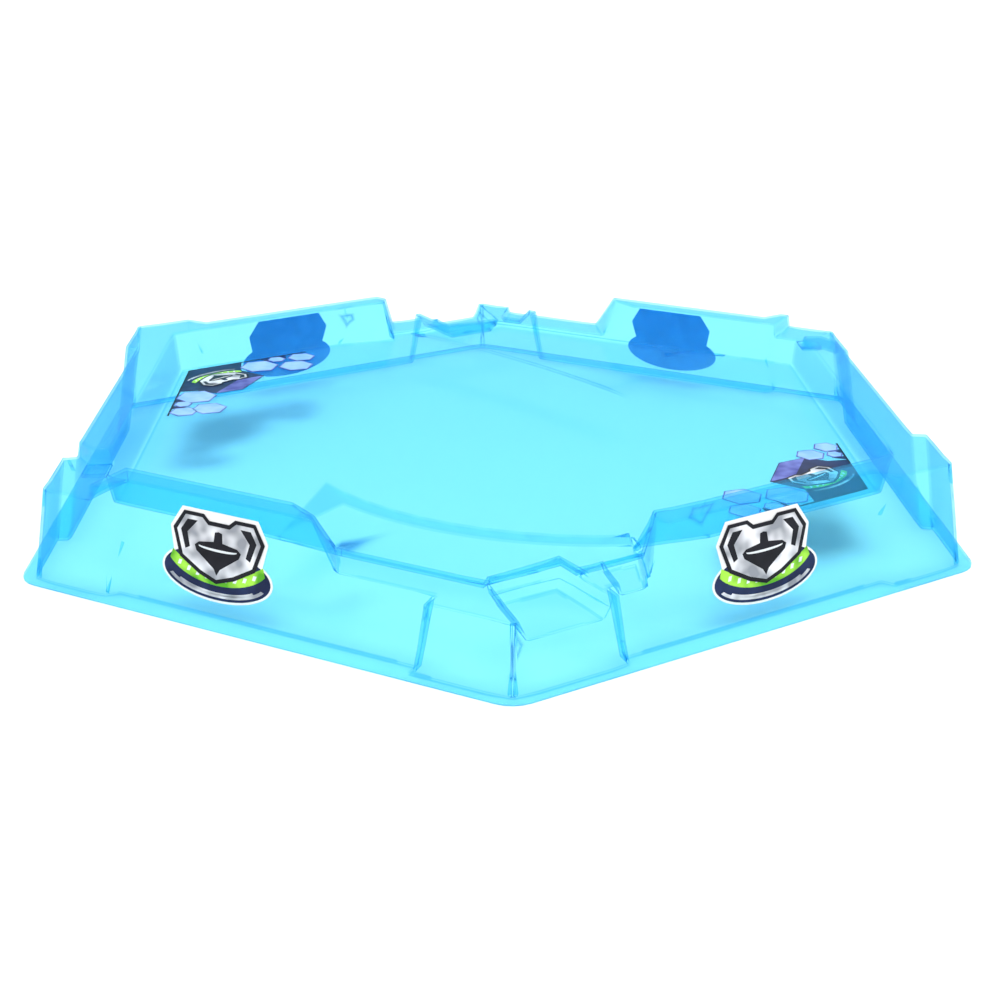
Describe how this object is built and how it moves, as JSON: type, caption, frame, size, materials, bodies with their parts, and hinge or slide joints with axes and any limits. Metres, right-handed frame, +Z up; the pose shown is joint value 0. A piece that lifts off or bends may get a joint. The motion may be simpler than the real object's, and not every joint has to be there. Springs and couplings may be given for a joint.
{
  "type": "spinning top battle arena",
  "caption": "Low hexagonal arena for battling spinning tops, vacuum formed in clear cyan plastic, with hollow walls, a flat play floor and a stepped launching place at opposite corners.",
  "frame": {"origin": "on the table under the middle of the arena", "axes": "+Z up from the table, +Y toward the back launching corner, -Y toward the front launching corner"},
  "size_m": [0.3724, 0.4262, 0.0434],
  "materials": {
    "clear_shell": "transparent cyan sheet, glossy",
    "wall_badge": "printed vinyl sticker",
    "floor_print": "printed vinyl sticker"
  },
  "bodies": {
    "root": {"arena_shell": "clear_shell", "wall_sticker_front_left": "wall_badge", "wall_sticker_front_right": "wall_badge", "wall_sticker_back_right": "wall_badge", "wall_sticker_back_left": "wall_badge", "floor_sticker_back_left": "floor_print", "floor_sticker_front_right": "floor_print"}
  },
  "joints": []
}
